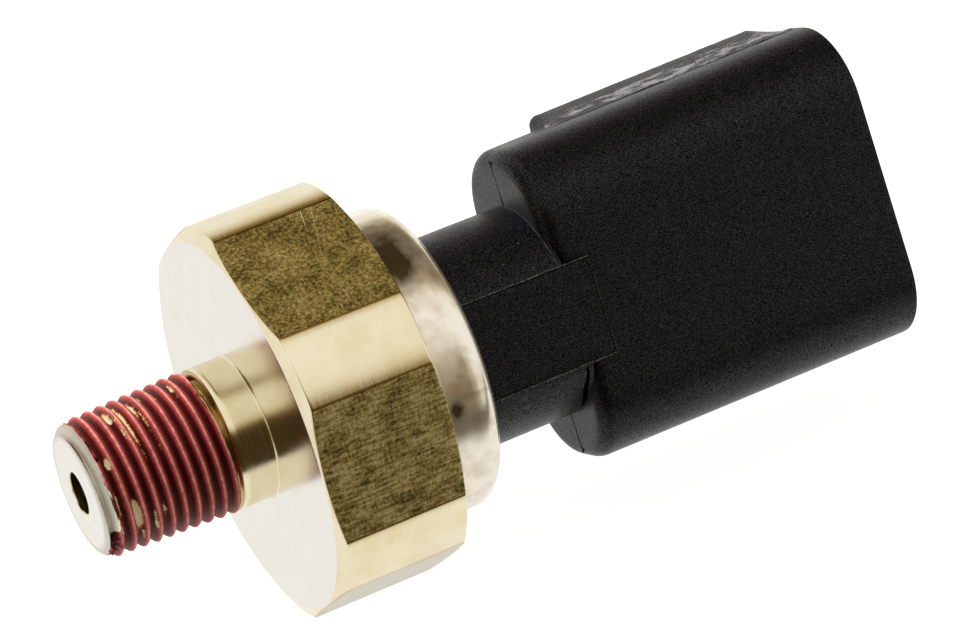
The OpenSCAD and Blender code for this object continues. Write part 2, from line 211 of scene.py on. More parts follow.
def skin(points, loop_rows=False, masks=None):
    """Closed skin over a grid of points (rows, columns): the columns close round. The rows close too where
    loop_rows is set, and otherwise a fan to a middle point closes the first and the last row. It is turned
    so that its faces point outwards. Masks are named values per grid point."""
    rows, cols = points.shape[:2]
    i = np.arange(rows if loop_rows else rows - 1)[:, None]
    k = np.arange(cols)[None]
    ahead, beside = (i + 1) % rows * cols, (k + 1) % cols
    quads = np.stack([i * cols + k, i * cols + beside, ahead + beside, ahead + k], -1).reshape(-1, 4)
    verts = points.reshape(-1, 3)
    fans = np.zeros((0, 3), int)
    if not loop_rows:
        ends = points[[0, -1]].mean(1)
        last = (rows - 1) * cols
        k = k[0]
        beside = beside[0]
        first_fan = np.stack([beside, k, np.full(cols, len(verts))], -1)
        last_fan = np.stack([last + k, last + beside, np.full(cols, len(verts) + 1)], -1)
        fans = np.concatenate([first_fan, last_fan])
        verts = np.concatenate([verts, ends])
    halves = np.concatenate([quads[:, [0, 1, 2]], quads[:, [0, 2, 3]], fans])
    a, b, c = verts[halves[:, 0]], verts[halves[:, 1]], verts[halves[:, 2]]
    if np.einsum("ij,ij->i", a, np.cross(b, c)).sum() < 0:
        quads, fans = quads[:, ::-1], fans[:, ::-1]
    named = {}
    for name, value in (masks or {}).items():
        flat = np.broadcast_to(value, (rows, cols)).reshape(-1)
        named[name] = np.concatenate([flat, np.zeros(len(verts) - len(flat))])
    return {"verts": verts, "quads": quads, "fans": fans, "masks": named}


def make_piece(name, skins, materials, node=None, sharp=32, finish=None):
    """One mesh object from several skins, smooth but for edges sharper than the given angle. finish gives
    each skin the index of its material, or an array with one index per face."""
    starts = np.cumsum([0] + [len(s["verts"]) for s in skins])
    verts = np.concatenate([s["verts"] for s in skins]) * MM
    quads = np.concatenate([s["quads"] + o for s, o in zip(skins, starts)])
    fans = np.concatenate([s["fans"] + o for s, o in zip(skins, starts)])
    mesh = bpy.data.meshes.new(name)
    mesh.vertices.add(len(verts))
    mesh.vertices.foreach_set("co", verts.astype(np.float32).ravel())
    mesh.loops.add(quads.size + fans.size)
    mesh.loops.foreach_set("vertex_index", np.concatenate([quads.ravel(), fans.ravel()]).astype(np.int32))
    mesh.polygons.add(len(quads) + len(fans))
    loop_starts = np.concatenate([np.arange(len(quads)) * 4, quads.size + np.arange(len(fans)) * 3])
    mesh.polygons.foreach_set("loop_start", loop_starts.astype(np.int32))
    finish = finish or [0] * len(skins)
    per_quad = [np.broadcast_to(f, len(s["quads"])) for s, f in zip(skins, finish)]
    per_fan = [np.full(len(s["fans"]), np.ravel(f)[0]) for s, f in zip(skins, finish)]
    mesh.polygons.foreach_set("material_index", np.concatenate(per_quad + per_fan).astype(np.int32))
    for mask in sorted({m for s in skins for m in s["masks"]}):
        values = np.concatenate([s["masks"].get(mask, np.zeros(len(s["verts"]))) for s in skins])
        mesh.attributes.new(mask, "FLOAT", "POINT").data.foreach_set("value", values.astype(np.float32))
    mesh.update(calc_edges=True)
    mesh.validate()
    mesh.shade_smooth()
    mesh.set_sharp_from_angle(angle=math.radians(sharp))
    for material in materials:
        mesh.materials.append(material)
    piece = bpy.data.objects.new(name, mesh)
    bpy.context.scene.collection.objects.link(piece)
    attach(piece, "root")
    if node:
        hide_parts(node)
    return piece


# ---------------------------------------------------------------- materials


def linear(code, alpha=1.0):
    """sRGB hex colour turned to the linear values that the shader takes."""
    parts = [int(code[i : i + 2], 16) / 255 for i in (1, 3, 5)]
    return tuple(p / 12.92 if p <= 0.04045 else ((p + 0.055) / 1.055) ** 2.4 for p in parts) + (alpha,)


def add(tree, kind, settings=None, inputs=None):
    """Adds one node. settings are its own properties; inputs are values, or sockets to link from."""
    node = tree.nodes.new(kind)
    for key, value in (settings or {}).items():
        setattr(node, key, value)
    for key, value in (inputs or {}).items():
        if isinstance(value, bpy.types.NodeSocket):
            tree.links.new(value, node.inputs[key])
        else:
            node.inputs[key].default_value = value
    return node


def new_material(name):
    """Empty material with its tree, its principled shader and Object coordinates."""
    material = bpy.data.materials.new(name)
    material.use_nodes = True
    tree = material.node_tree
    shader = tree.nodes["Principled BSDF"]
    place = add(tree, "ShaderNodeTexCoord").outputs["Object"]
    return material, tree, shader, place


def per_mm(size):
    """Noise scale that gives features of the given size in millimetres on Object coordinates in metres."""
    return 1 / (size * MM)


def lathe_coords(tree, place, turns_mm):
    """Coordinates of a turned surface: along the axis, out from it, and a little round it, so that noise on
    them draws rings. turns_mm is how far round the axis a mark runs."""
    part = add(tree, "ShaderNodeSeparateXYZ", inputs={0: place})
    flat = add(tree, "ShaderNodeCombineXYZ", inputs={1: part.outputs[1], 2: part.outputs[2]})
    radius = add(tree, "ShaderNodeVectorMath", {"operation": "LENGTH"}, {0: flat.outputs[0]})
    round_ = add(tree, "ShaderNodeVectorMath", {"operation": "SCALE"}, {0: flat.outputs[0], "Scale": 1 / turns_mm})
    rest = add(tree, "ShaderNodeSeparateXYZ", inputs={0: round_.outputs[0]})
    out = add(tree, "ShaderNodeMath", {"operation": "ADD"}, {0: radius.outputs["Value"], 1: rest.outputs[1]})
    along = add(tree, "ShaderNodeMath", {"operation": "ADD"}, {0: part.outputs[0], 1: rest.outputs[2]})
    return add(tree, "ShaderNodeCombineXYZ", inputs={0: along.outputs[0], 1: out.outputs[0]}).outputs[0]


def mix_color(tree, factor, first, second):
    """Colour between two, each a hex code or a socket, by a factor socket."""
    first, second = (linear(c) if isinstance(c, str) else c for c in (first, second))
    return add(tree, "ShaderNodeMix", {"data_type": "RGBA"}, {0: factor, 6: first, 7: second}).outputs[2]


def noise(tree, place, size, detail=3, roughness=0.5):
    """Noise with lumps of the given size in millimetres, as a socket around 0.5."""
    inputs = {"Vector": place, "Scale": per_mm(size), "Detail": detail, "Roughness": roughness}
    return add(tree, "ShaderNodeTexNoise", inputs=inputs).outputs[0]


def spread(tree, value, low, high, first=0.0, second=1.0, smooth=False):
    """Value turned from low..high to first..second and held there outside."""
    kind = {"interpolation_type": "SMOOTHSTEP"} if smooth else {}
    return add(tree, "ShaderNodeMapRange", kind, {0: value, 1: low, 2: high, 3: first, 4: second}).outputs[0]


def math_node(tree, operation, first, second=0.0):
    """One sum or product of two values or sockets."""
    return add(tree, "ShaderNodeMath", {"operation": operation}, {0: first, 1: second}).outputs[0]


def mask_of(tree, name):
    """A mesh's own mask, as a socket."""
    return add(tree, "ShaderNodeAttribute", {"attribute_name": name}).outputs["Fac"]


def finish_material(material, tree, shader, color, rough, height, strength, distance, metallic=0.0):
    """Joins colour, roughness and relief to the shader. distance is the relief's height in millimetres."""
    bump = add(tree, "ShaderNodeBump", inputs={"Strength": strength, "Distance": distance * MM, "Height": height})
    for value, key in ((color, "Base Color"), (rough, "Roughness"), (metallic, "Metallic")):
        if isinstance(value, bpy.types.NodeSocket):
            tree.links.new(value, shader.inputs[key])
        else:
            shader.inputs[key].default_value = value
    tree.links.new(bump.outputs[0], shader.inputs["Normal"])
    return material


def brass_turned():
    """Free-cutting brass, turned on a lathe: pale yellow with the tool's rings about 0.06 mm apart, drawn at
    0.09 mm, so that the sheen runs in fine bands round the axis. The collar, rolled over by a smooth roller,
    has no rings, and a thin dull film on it scatters light; a painted dark reflection of the black connector
    darkens wavy patches of it to olive. Oxide left from the bar browns the edges of the flats, and thin
    sealant the thread's end."""
    material, tree, shader, place = new_material("brass_turned")
    fine = noise(tree, lathe_coords(tree, place, 40), 0.09)
    cloud = spread(tree, noise(tree, place, 2.5), 0.35, 0.7)
    rolled = mask_of(tree, "rolled")
    color = mix_color(tree, cloud, "#EEE2C3", "#E6D8AE")
    stain = spread(tree, noise(tree, place, 1.6, 2), 0.42, 0.66)
    color = mix_color(tree, rolled, color, mix_color(tree, stain, "#F6EEDD", "#E4D6BF"))
    color = mix_color(tree, mask_of(tree, "stain"), color, "#B59F78")
    # Painted dark reflection: wavy olive patches on the collar where it mirrors the black connector; they also raise
    # the roughness.
    wave = math_node(tree, "MULTIPLY", math_node(tree, "SUBTRACT", noise(tree, place, 0.9, 2), 0.5), 0.9)
    painted_darkening = math_node(tree, "ADD", mask_of(tree, "smudge"), wave)
    painted_darkening = math_node(tree, "MULTIPLY", spread(tree, painted_darkening, 0.1, 1.1, 0, 0.95), spread(tree, mask_of(tree, "smudge"), 0.02, 0.3))
    color = mix_color(tree, painted_darkening, color, "#4A3A0C")
    color = mix_color(tree, mask_of(tree, "edge"), color, "#A8843C")
    rings = add(tree, "ShaderNodeMix", {"data_type": "FLOAT"}, {0: rolled, 2: fine, 3: 0.65}).outputs[0]
    rough = math_node(tree, "ADD", spread(tree, rings, 0.3, 0.7, 0.12, 0.24), math_node(tree, "MULTIPLY", painted_darkening, 0.1))
    film = spread(tree, rolled, 0, 1, 1.0, 0.85)
    return finish_material(material, tree, shader, color, rough, rings, 0.1, 0.02, film)


def brass_faced_highlight():
    """Free-cutting brass, faced across the end of the bar with a fine feed: painted paler and brighter than the
    rest and nearly even, a painted highlight where the face mirrors the white floor, with rings round the axis
    that only show as a soft sheen. Round the tip's edge, where it was bumped and rubbed, it is matt and blurs
    what it mirrors."""
    material, tree, shader, place = new_material("brass_faced_highlight")
    fine = noise(tree, lathe_coords(tree, place, 60), 0.12, 2)
    # Painted highlight: a paler, more neutral brass than the turned surfaces.
    color = mix_color(tree, spread(tree, noise(tree, place, 2.2), 0.35, 0.75), "#ECE8DE", "#EAE4D6")
    rough = spread(tree, fine, 0.3, 0.7, 0.16, 0.24)
    rough = math_node(tree, "ADD", rough, math_node(tree, "MULTIPLY", mask_of(tree, "matt"), 0.45))
    return finish_material(material, tree, shader, color, rough, fine, 0.1, 0.02, 1.0)


def brass_drawn():
    """Brass bar as drawn, left on the hexagon's flats: a dull olive skin of oxide, half matt, speckled light
    and dark in grains of 0.1 to 0.3 mm. Drawing lines along the bar and rub marks across it show on some
    flats more than on others, and the flat on which the part was handled is worn back to pale brass."""
    material, tree, shader, place = new_material("brass_drawn")
    along = add(tree, "ShaderNodeMapping", inputs={0: place, 3: (0.15, 1, 1)}).outputs[0]
    across = add(tree, "ShaderNodeMapping", inputs={0: place, 3: (1, 0.2, 0.2)}).outputs[0]
    grain = noise(tree, place, 0.2, 5, 0.75)
    cloth = add(tree, "ShaderNodeMix", {"data_type": "FLOAT"}, {0: 0.3, 2: noise(tree, along, 0.18, 3), 3: noise(tree, across, 0.16, 3)})
    cloth = cloth.outputs[0]
    patches = noise(tree, place, 1.6, 3)
    strong = mask_of(tree, "lines")
    share = math_node(tree, "MULTIPLY", strong, 0.55)
    both = add(tree, "ShaderNodeMix", {"data_type": "FLOAT"}, {0: share, 2: grain, 3: cloth}).outputs[0]
    level = math_node(tree, "ADD", both, math_node(tree, "MULTIPLY", math_node(tree, "SUBTRACT", patches, 0.5), 0.25))
    level = math_node(tree, "MULTIPLY", math_node(tree, "SUBTRACT", level, 0.5), math_node(tree, "ADD", math_node(tree, "MULTIPLY", strong, 0.7), 1.0))
    level = math_node(tree, "ADD", level, math_node(tree, "MULTIPLY", strong, 0.085))
    ramp = add(tree, "ShaderNodeValToRGB", inputs={0: math_node(tree, "ADD", level, 0.5)})
    stops = ramp.color_ramp.elements
    stops[0].position, stops[0].color = 0.38, linear("#3C3110")
    stops[1].position, stops[1].color = 0.72, linear("#D6C486")
    for position, code in ((0.45, "#685625"), (0.52, "#8E783A"), (0.60, "#AC9654")):
        stops.new(position).color = linear(code)
    color = mix_color(tree, mask_of(tree, "worn"), ramp.outputs[0], "#EDE6D2")
    rough = spread(tree, level, -0.15, 0.15, 0.5, 0.36)
    return finish_material(material, tree, shader, color, rough, both, 0.6, 0.03, 0.6)


def coat_sealant():
    """Anaerobic thread sealant, sprayed on and baked: brick red and satin, with a painted pink highlight along the
    crests and painted shade, almost black red, in the grooves and a little on the flanks that face the tip.
    Where it chipped off, the brass below looks cream, with a golden rim of thin coat left round each chip."""
    material, tree, shader, place = new_material("coat_sealant")
    groove, lee, chip = (mask_of(tree, name) for name in ("groove", "lee", "chip"))
    grit, blotch = noise(tree, place, 0.1), noise(tree, place, 0.7)
    # Painted shade: almost black red in the grooves and a little on the flanks that face the tip.
    groove_shade = spread(tree, math_node(tree, "ADD", groove, math_node(tree, "MULTIPLY", lee, 0.1)), 0.05, 0.75)
    color = mix_color(tree, groove_shade, "#DC5250", "#450206")
    # Painted highlight: pink along the crests.
    worn = math_node(tree, "ADD", groove, spread(tree, noise(tree, place, 0.3), 0.3, 0.7, -0.06, 0.06))
    color = mix_color(tree, spread(tree, worn, 0.0, 0.16, 1, 0), color, "#F4AC9E")
    shade = math_node(tree, "MULTIPLY", spread(tree, blotch, 0.3, 0.7, 0.75, 1.15), spread(tree, grit, 0.3, 0.7, 0.7, 1.2))
    color = add(tree, "ShaderNodeVectorMath", {"operation": "SCALE"}, {0: color, "Scale": shade}).outputs[0]
    bare = math_node(tree, "ADD", chip, spread(tree, noise(tree, place, 0.14), 0.3, 0.7, -0.04, 0.04))
    color = mix_color(tree, spread(tree, bare, -0.015, 0.01), color, "#B27A2A")
    color = mix_color(tree, spread(tree, bare, 0.015, 0.04), color, "#F4E6BE")
    metal = spread(tree, bare, -0.01, 0.02, 0, 0.25)
    rough = spread(tree, grit, 0.3, 0.7, 0.38, 0.55)
    shader.inputs["Specular IOR Level"].default_value = 0.15
    shader.inputs["Sheen Weight"].default_value = 0.6
    shader.inputs["Sheen Roughness"].default_value = 0.4
    shader.inputs["Sheen Tint"].default_value = linear("#FF8C78")
    return finish_material(material, tree, shader, color, rough, grit, 0.5, 0.04, metal)


def plastic_grained():
    """Glass-filled PBT, moulded in a spark-eroded cavity: deep black with a fine grain about 0.1 mm across,
    whose tips shine and whose pits do not, so that it looks peppered where light grazes, and scattered pale
    dust specks smaller than 0.1 mm, drawn as coarse as the render needs. Along the ridge that rubs on its
    plug, ragged scuffs have turned it grey."""
    material, tree, shader, place = new_material("plastic_grained")
    grain, wide = noise(tree, place, 0.085, 3, 0.7), noise(tree, place, 2.6)
    specks = add(tree, "ShaderNodeTexVoronoi", inputs={"Vector": place, "Scale": per_mm(0.6)})
    pick = add(tree, "ShaderNodeSeparateColor", inputs={0: specks.outputs["Color"]}).outputs[0]
    rare = math_node(tree, "GREATER_THAN", pick, 0.86)
    dot = math_node(tree, "LESS_THAN", specks.outputs["Distance"], 0.07)
    color = mix_color(tree, spread(tree, grain, 0.46, 0.68), "#000001", "#26262B")
    color = mix_color(tree, math_node(tree, "MULTIPLY", rare, dot), color, "#6A6967")
    along = add(tree, "ShaderNodeMapping", inputs={0: place, 3: (0.35, 1, 1)}).outputs[0]
    rubbed = mask_of(tree, "rubbed")
    torn = math_node(tree, "ADD", noise(tree, along, 0.5, 2), math_node(tree, "MULTIPLY", rubbed, 0.2))
    torn = math_node(tree, "ADD", torn, math_node(tree, "MULTIPLY", math_node(tree, "SUBTRACT", grain, 0.5), 0.9))
    scuffed = math_node(tree, "MULTIPLY", spread(tree, torn, 0.62, 0.74), spread(tree, rubbed, 0.1, 0.35))
    color = mix_color(tree, scuffed, color, "#8D8D8C")
    rough = spread(tree, wide, 0.3, 0.7, 0.3, 0.38)
    tree.links.new(spread(tree, grain, 0.42, 0.66, 0.02, 0.5), shader.inputs["Specular IOR Level"])
    shader.inputs["Sheen Weight"].default_value = 0.22
    shader.inputs["Sheen Roughness"].default_value = 0.28
    return finish_material(material, tree, shader, color, rough, grain, 0.5, 0.03)


def plastic_flash():
    """Flash of the same black PBT, squeezed into the mould's seam: so thin and so often bent that it has
    greyed, in flecks smaller than 0.1 mm."""
    material, tree, shader, place = new_material("plastic_flash")
    flecks = noise(tree, place, 0.12)
    color = mix_color(tree, spread(tree, flecks, 0.42, 0.62), "#0A0A0B", "#5E5E5D")
    shader.inputs["Specular IOR Level"].default_value = 0.15
    return finish_material(material, tree, shader, color, 0.5, flecks, 0.4, 0.03)


def plastic_painted_shadow():
    """Painted shadow in the black PBT: a dull hairline, blacker than the grain beside it, laid where a step is too
    fine for light to reach, as at the seam where the mould's halves meet, along the rib's foot and the pads'
    edges, and in the hollow at the neck's end."""
    material, tree, shader, place = new_material("plastic_painted_shadow")
    depth = noise(tree, place, 0.15)
    color = mix_color(tree, spread(tree, depth, 0.3, 0.7), "#000000", "#040404")
    shader.inputs["Specular IOR Level"].default_value = 0.02
    return finish_material(material, tree, shader, color, 0.8, depth, 0.3, 0.03)


def speckled(name, light, dark, size, roughness, metallic=0.0, relief=0.3):
    """Plain fired, moulded or plated finish of a small inner piece: two close tones in specks of the given
    size in millimetres, with relief to match."""
    material, tree, shader, place = new_material(name)
    specks = noise(tree, place, size)
    color = mix_color(tree, spread(tree, specks, 0.35, 0.65), dark, light)
    rough = spread(tree, specks, 0.3, 0.7, roughness - 0.05, roughness + 0.05)
    return finish_material(material, tree, shader, color, rough, specks, relief, 0.03, metallic)


# ---------------------------------------------------------------- brass fitting

# Painted dark reflection of the black connector on the collar: x, turn in degrees, half size along and round, strength
COLLAR_DARK_REFLECTIONS = [(11.1, 94, 1.3, 9, 1.3), (11.4, 79, 1.6, 14, 0.95), (11.0, 150, 0.6, 3.5, 1.5)]
# Outline of the drop that dried on the collar: x and turn in degrees at points along it
DROP_STAIN = [(12.9, 131), (12.5, 133.5), (12.2, 138), (11.6, 141), (11.3, 144), (11.7, 147), (12.6, 147.5), (13.5, 147)]
# How strongly drawing lines show on each flat, from the one at 90 degrees on, and how far it is worn
FLAT_LINES = [0.15, 1.0, 0.6, 0.4, 0.5, 0.3]
FLAT_WORN = [0, 0, 0.9, 0, 0, 0]
# Scratches and nicks in the flats: turn of the flat, width, then (x, across) points
SCRATCHES = [
    (90, 0.07, [(6.85, -4.7), (6.48, -3.1)]),
    (90, 0.06, [(7.57, -4.6), (6.79, -2.03), (6.23, -0.35)]),
    (90, 0.10, [(3.88, 0.28), (4.06, 1.33)]),
    (90, 0.08, [(4.11, 0.48), (4.13, 1.55)]),
    (90, 0.09, [(4.61, 1.02), (4.71, 1.57)]),
    (90, 0.07, [(5.7, 0.26), (6.02, 2.03), (6.15, 3.85)]),
    (90, 0.09, [(5.5, 3.51), (5.31, 4.28)]),
    (90, 0.06, [(9.06, -3.9), (8.89, -3.3)]),
    (150, 0.14, [(8.60, 2.2), (8.62, 2.45)]),
    (150, 0.12, [(9.2, 2.5), (9.25, 2.7)]),
    (150, 0.10, [(7.2, 0.45), (7.32, 0.69)]),
]
FLAT_KNOTS = [0, 7, 13, 27, 33, 40]
SECTOR_COLUMNS = FLAT_KNOTS[-1]


def hexagon_angles(row_r):
    """Angle of every column, per row: in each sixth of a turn the columns crowd at the two edges between
    the flat and the turned corner, which wander as the row's radius grows."""
    half = np.arccos(np.clip(FLAT_R / row_r, -1, 1))
    half = np.maximum(half, math.radians(1.5))[:, None]
    edge = np.minimum(0.4 * half, 0.16 / CORNER_R)
    sixth = math.pi / 6
    knots = np.concatenate([0 * half - sixth, -half - edge, edge - half, half - edge, half + edge, 0 * half + sixth], 1)
    column = np.arange(SECTOR_COLUMNS)
    weights = np.stack([np.interp(column, FLAT_KNOTS, np.eye(6)[k]) for k in range(6)])
    local = knots @ weights
    turns = math.pi / 2 + np.arange(6) * math.pi / 3
    return (turns[None, :, None] + local[:, None, :]).reshape(len(row_r), -1)


def crest_r(x):
    """Radius of the taper thread's crests."""
    return TIP_CREST_R + (x - TIP_X) * TAPER


def crest_phase(x, angle):
    """Turns from the crest line, a right-hand helix: whole numbers are crests."""
    return (x - CREST_X) / PITCH - angle / (2 * math.pi)


def thread_r(x, angle):
    """Radius of the brass thread: a sixty degree ridge with narrow flats wound along the taper, cut back
    by the tip's chamfer, and running out into the shank as the die left it."""
    height = np.abs(2 * (crest_phase(x, angle) % 1) - 1)
    margin = THREAD_FLAT / PITCH
    ridge = smooth_min(np.clip((height - margin) / (1 - 2 * margin), 0, 1), 1.0, 0.05)
    depth = THREAD_DEPTH * smooth_step((RUN_OUT_X - x) / RUN_OUT_LEN)
    cone = TIP_FACE_R + (x - TIP_X) * (crest_r(TIP_X + TIP_CHAMFER) - TIP_FACE_R) / TIP_CHAMFER
    cone = cone - TIP_ROUND * np.exp(-(x - TIP_X) / (0.5 * TIP_ROUND))
    return smooth_min(crest_r(x) - depth * (1 - ridge), cone, 0.04)


def fitting_skin():
    """The whole fitting as one closed skin: its section, out along the outside and back through the bore,
    carried round the axis. Rows on the thread take the helix's radius, and rows on the hexagon the smaller
    of the turned radius and the flat. Returns the skin and the finish of each of its faces."""
    tip = rounded_path([(TIP_X, PORT_R + PORT_CHAMFER, 0), (TIP_X, TIP_FACE_R - TIP_ROUND - 0.05, 0)])
    thread_x = np.concatenate([TIP_X + 0.3 * np.linspace(0.03, 1, 14) ** 2, np.arange(TIP_X + 0.34, RUN_OUT_X, PITCH / 14)])
    thread = np.stack([thread_x, crest_r(thread_x)], -1)
    shank = rounded_path([
        (RUN_OUT_X, SHANK_R - 0.03, 0),
        (RUN_OUT_X + 0.06, SHANK_R, 0),
        (-SHANK_FILLET - 0.03, SHANK_R, 0),
        (0, SHANK_R, SHANK_FILLET),
        (0, SHANK_R + SHANK_FILLET + 0.03, 0),
        (0, FACE_R * 0.5, 0),
    ])
    hexagon = rounded_path([
        (0, FACE_R * 0.6, 0),
        (0, FACE_R, 0.12),
        (CHAMFER_LEN, CORNER_R, 0.1),
        (HEX_LEN - CHAMFER_LEN, CORNER_R, 0.1),
        (HEX_LEN, FACE_R, 0.12),
        (HEX_LEN, COLLAR_R + 1.4, 0),
    ])
    inside = rounded_path([
        (HEX_LEN, COLLAR_R + 0.6, 0),
        (HEX_LEN, COLLAR_R, 0.25),
        (COLLAR_END, COLLAR_R, COLLAR_ROUND),
        (COLLAR_END, LIP_R, 0.2),
        (SEAT_X, LIP_R, 0.05),
        (SEAT_X, SEAL_BORE_R, 0),
        (STEP_X, SEAL_BORE_R, 0),
        (STEP_X, CELL_BORE_R, 0),
        (FLOOR_X, CELL_BORE_R, 0),
        (FLOOR_X, POCKET_R, 0),
        (POCKET_X, POCKET_R, 0),
        (POCKET_X, PORT_R, 0),
        (TIP_X + PORT_CHAMFER, PORT_R, 0),
    ])
    parts = [subdivided(tip, 0.5), thread, subdivided(shank, 0.4), hexagon_rows(hexagon), subdivided(inside, 0.5)]
    kinds = np.concatenate([np.full(len(p), kind) for kind, p in enumerate(parts)])[:, None]
    x, r = np.concatenate(parts).T[:, :, None]
    even = math.pi / 3 + np.arange(6 * SECTOR_COLUMNS) * math.pi / 3 / SECTOR_COLUMNS
    angle = np.where(kinds == 3, hexagon_angles(r[:, 0]), even[None])
    flat = FLAT_R / np.cos(angle % (math.pi / 3) - math.pi / 6)
    radius = np.where(kinds == 1, thread_r(x, angle), r)
    radius = np.where(kinds == 3, smooth_min(radius, flat, EDGE_ROUND), radius)
    hexagonal = (kinds == 3) & (x > 0.02) & (x < HEX_LEN - 0.02)
    edge = np.where(hexagonal, np.exp(-(((r - flat) / 0.05) ** 2)), 0)
    # Painted shade: the port's wall is tinted golden brown, darker than the turned brass, inside the bore.
    edge = np.where((kinds == 4) & (x < FLOOR_X) & (r < PORT_R + 0.01), 0.4, edge)
    edge = np.where(kinds == 1, 0.7 * smooth_step((x - RUN_OUT_X + 1.4) / 0.4), edge)
    sixth = np.round((np.degrees(angle) - 90) / 60).astype(int) % 6
    # Painted dark reflection on the collar, where it mirrors the black connector
    smudge = 0
    for place, turn, long, wide, strength in COLLAR_DARK_REFLECTIONS:
        smudge = smudge + strength * np.exp(-(((x - place) / long) ** 2) - ((np.degrees(angle) - turn) / wide) ** 2)
    rolled = (x > HEX_LEN) & (r > LIP_R + 1)
    outline = subdivided(np.array(DROP_STAIN) * [1, math.radians(COLLAR_R)], 0.1)
    off = np.hypot(x[..., None] - outline[:, 0], np.radians(np.degrees(angle))[..., None] * COLLAR_R - outline[:, 1])
    stain = np.where(rolled, 0.5 * np.exp(-((off.min(-1) / 0.17) ** 2)), 0)
    smudge = np.where(rolled, smudge, 0)
    matt = (kinds < 2) & (x < TIP_X + TIP_CHAMFER) & (r > TIP_FACE_R - 0.5)
    masks = {"edge": edge, "smudge": smudge, "matt": matt, "rolled": rolled, "stain": stain}
    masks |= {"lines": np.array(FLAT_LINES)[sixth], "worn": np.array(FLAT_WORN)[sixth]}
    made = skin(around_axis(x, radius, angle), loop_rows=True, masks=masks)

    on_flat = hexagonal & (flat < r)
    square = (kinds == 0) | ((np.abs(x) < 0.01) & (r > SHANK_R + SHANK_FILLET + 0.01)) | ((kinds == 1) & (x < TIP_X + TIP_CHAMFER))
    finish = np.where(on_flat, 2, np.where(square & ~on_flat, 1, 0))
    around = np.stack([finish, np.roll(finish, -1, 0), np.roll(finish, -1, 1), np.roll(finish, -1, (0, 1))])
    whole = (around == 2).all(0)
    return made, np.where(whole, 2, np.where(finish == 2, 0, finish)).reshape(-1)


def hexagon_rows(hexagon):
    """Rows of the hexagon: close together on the chamfers, where the flats' edges curve, and wide apart
    between them."""
    fine = subdivided(hexagon, 0.045)
    x, r = fine.T
    keep = (r > FLAT_R - 0.25) & ((x < CHAMFER_LEN + 0.2) | (x > HEX_LEN - CHAMFER_LEN - 0.2))
    sparse = np.arange(len(fine)) % 12 == 0
    return fine[keep | sparse]


def scratch_skin(turn, width, points):
    """Scratch or nick on the flat that faces the given turn: a hair-thin ridge along (x, across) points."""
    path = subdivided(np.array(points, float), 0.12)
    way = np.gradient(path, axis=0)
    way /= np.linalg.norm(way, axis=1)[:, None]
    side = np.stack([-way[:, 1], way[:, 0]], -1)
    taper = np.minimum(1, np.minimum(np.arange(len(path)), np.arange(len(path))[::-1]) / 2 + 0.3)
    across = np.array([-0.5, 0, 0.5, 0]) * width
    place = path[:, None] + across[None, :, None] * taper[:, None, None] * side[:, None]
    depth = FLAT_R + np.array([-0.012, -0.0003, -0.012, -0.03])
    a = math.radians(turn)
    x, w = place[..., 0], place[..., 1]
    place = np.stack([x, depth * math.cos(a) - w * math.sin(a), depth * math.sin(a) + w * math.cos(a)], -1)
    return skin(place, masks={"edge": 0.1})


# ---------------------------------------------------------------- red coat

# Ragged ends of the coat: x at turns round the axis in degrees
COAT_START = ([20, 45, 87, 107, 113, 128, 139, 155, 172, 184, 200, 300],
              [-11.6, -11.7, -11.63, -11.4, -11.63, -11.71, -11.45, -11.41, -11.6, -12.1, -12.25, -11.6])
COAT_END = ([39, 60, 77, 92, 108, 123, 138, 150, 163, 177, 194, 250],
            [-2.86, -3.1, -3.28, -3.31, -3.24, -3.11, -3.04, -2.94, -2.89, -2.85, -2.75, -2.72])
# Chips where brass shows: x, turn and half length in degrees, half width
CHIPS = [
    (-9.34, 67, 13, 0.15),
    (-9.05, 88, 10, 0.04),
    (-8.50, 80, 33, 0.15),
    (-7.55, 69, 14, 0.13),
    (-7.30, 92, 14, 0.04),
    (-6.67, 58, 6, 0.08),
    (-10.96, 114, 5, 0.16),
    (-10.72, 126, 6, 0.07),
    (-10.12, 165, 16, 0.28),
    (-9.85, 188, 7, 0.08),
    (-8.90, 177, 10, 0.09),
    (-8.18, 170, 7, 0.08),
    (-4.52, 65, 9, 0.07),
    (-4.00, 59, 8, 0.08),
    (-3.37, 47, 6, 0.10),
    (-5.80, 65, 8, 0.07),
    (-11.25, 150, 12, 0.09),
    (-11.35, 172, 9, 0.08),
]
# Thick drops at the tip's edge: x, turn in degrees, size, height
DROPS = [(-11.95, 181, 0.30, 0.34), (-11.55, 190, 0.28, 0.22), (-12.2, 192, 0.25, 0.38), (-12.05, 203, 0.25, 0.25)]


def round_axis(turns, values, degrees):
    """Value at every angle of a curve that is given at a few turns round the axis and closes on itself."""
    turns = [turns[-1] - 360] + list(turns) + [turns[0] + 360]
    values = [values[-1]] + list(values) + [values[0]]
    return np.interp(degrees % 360, turns, values)


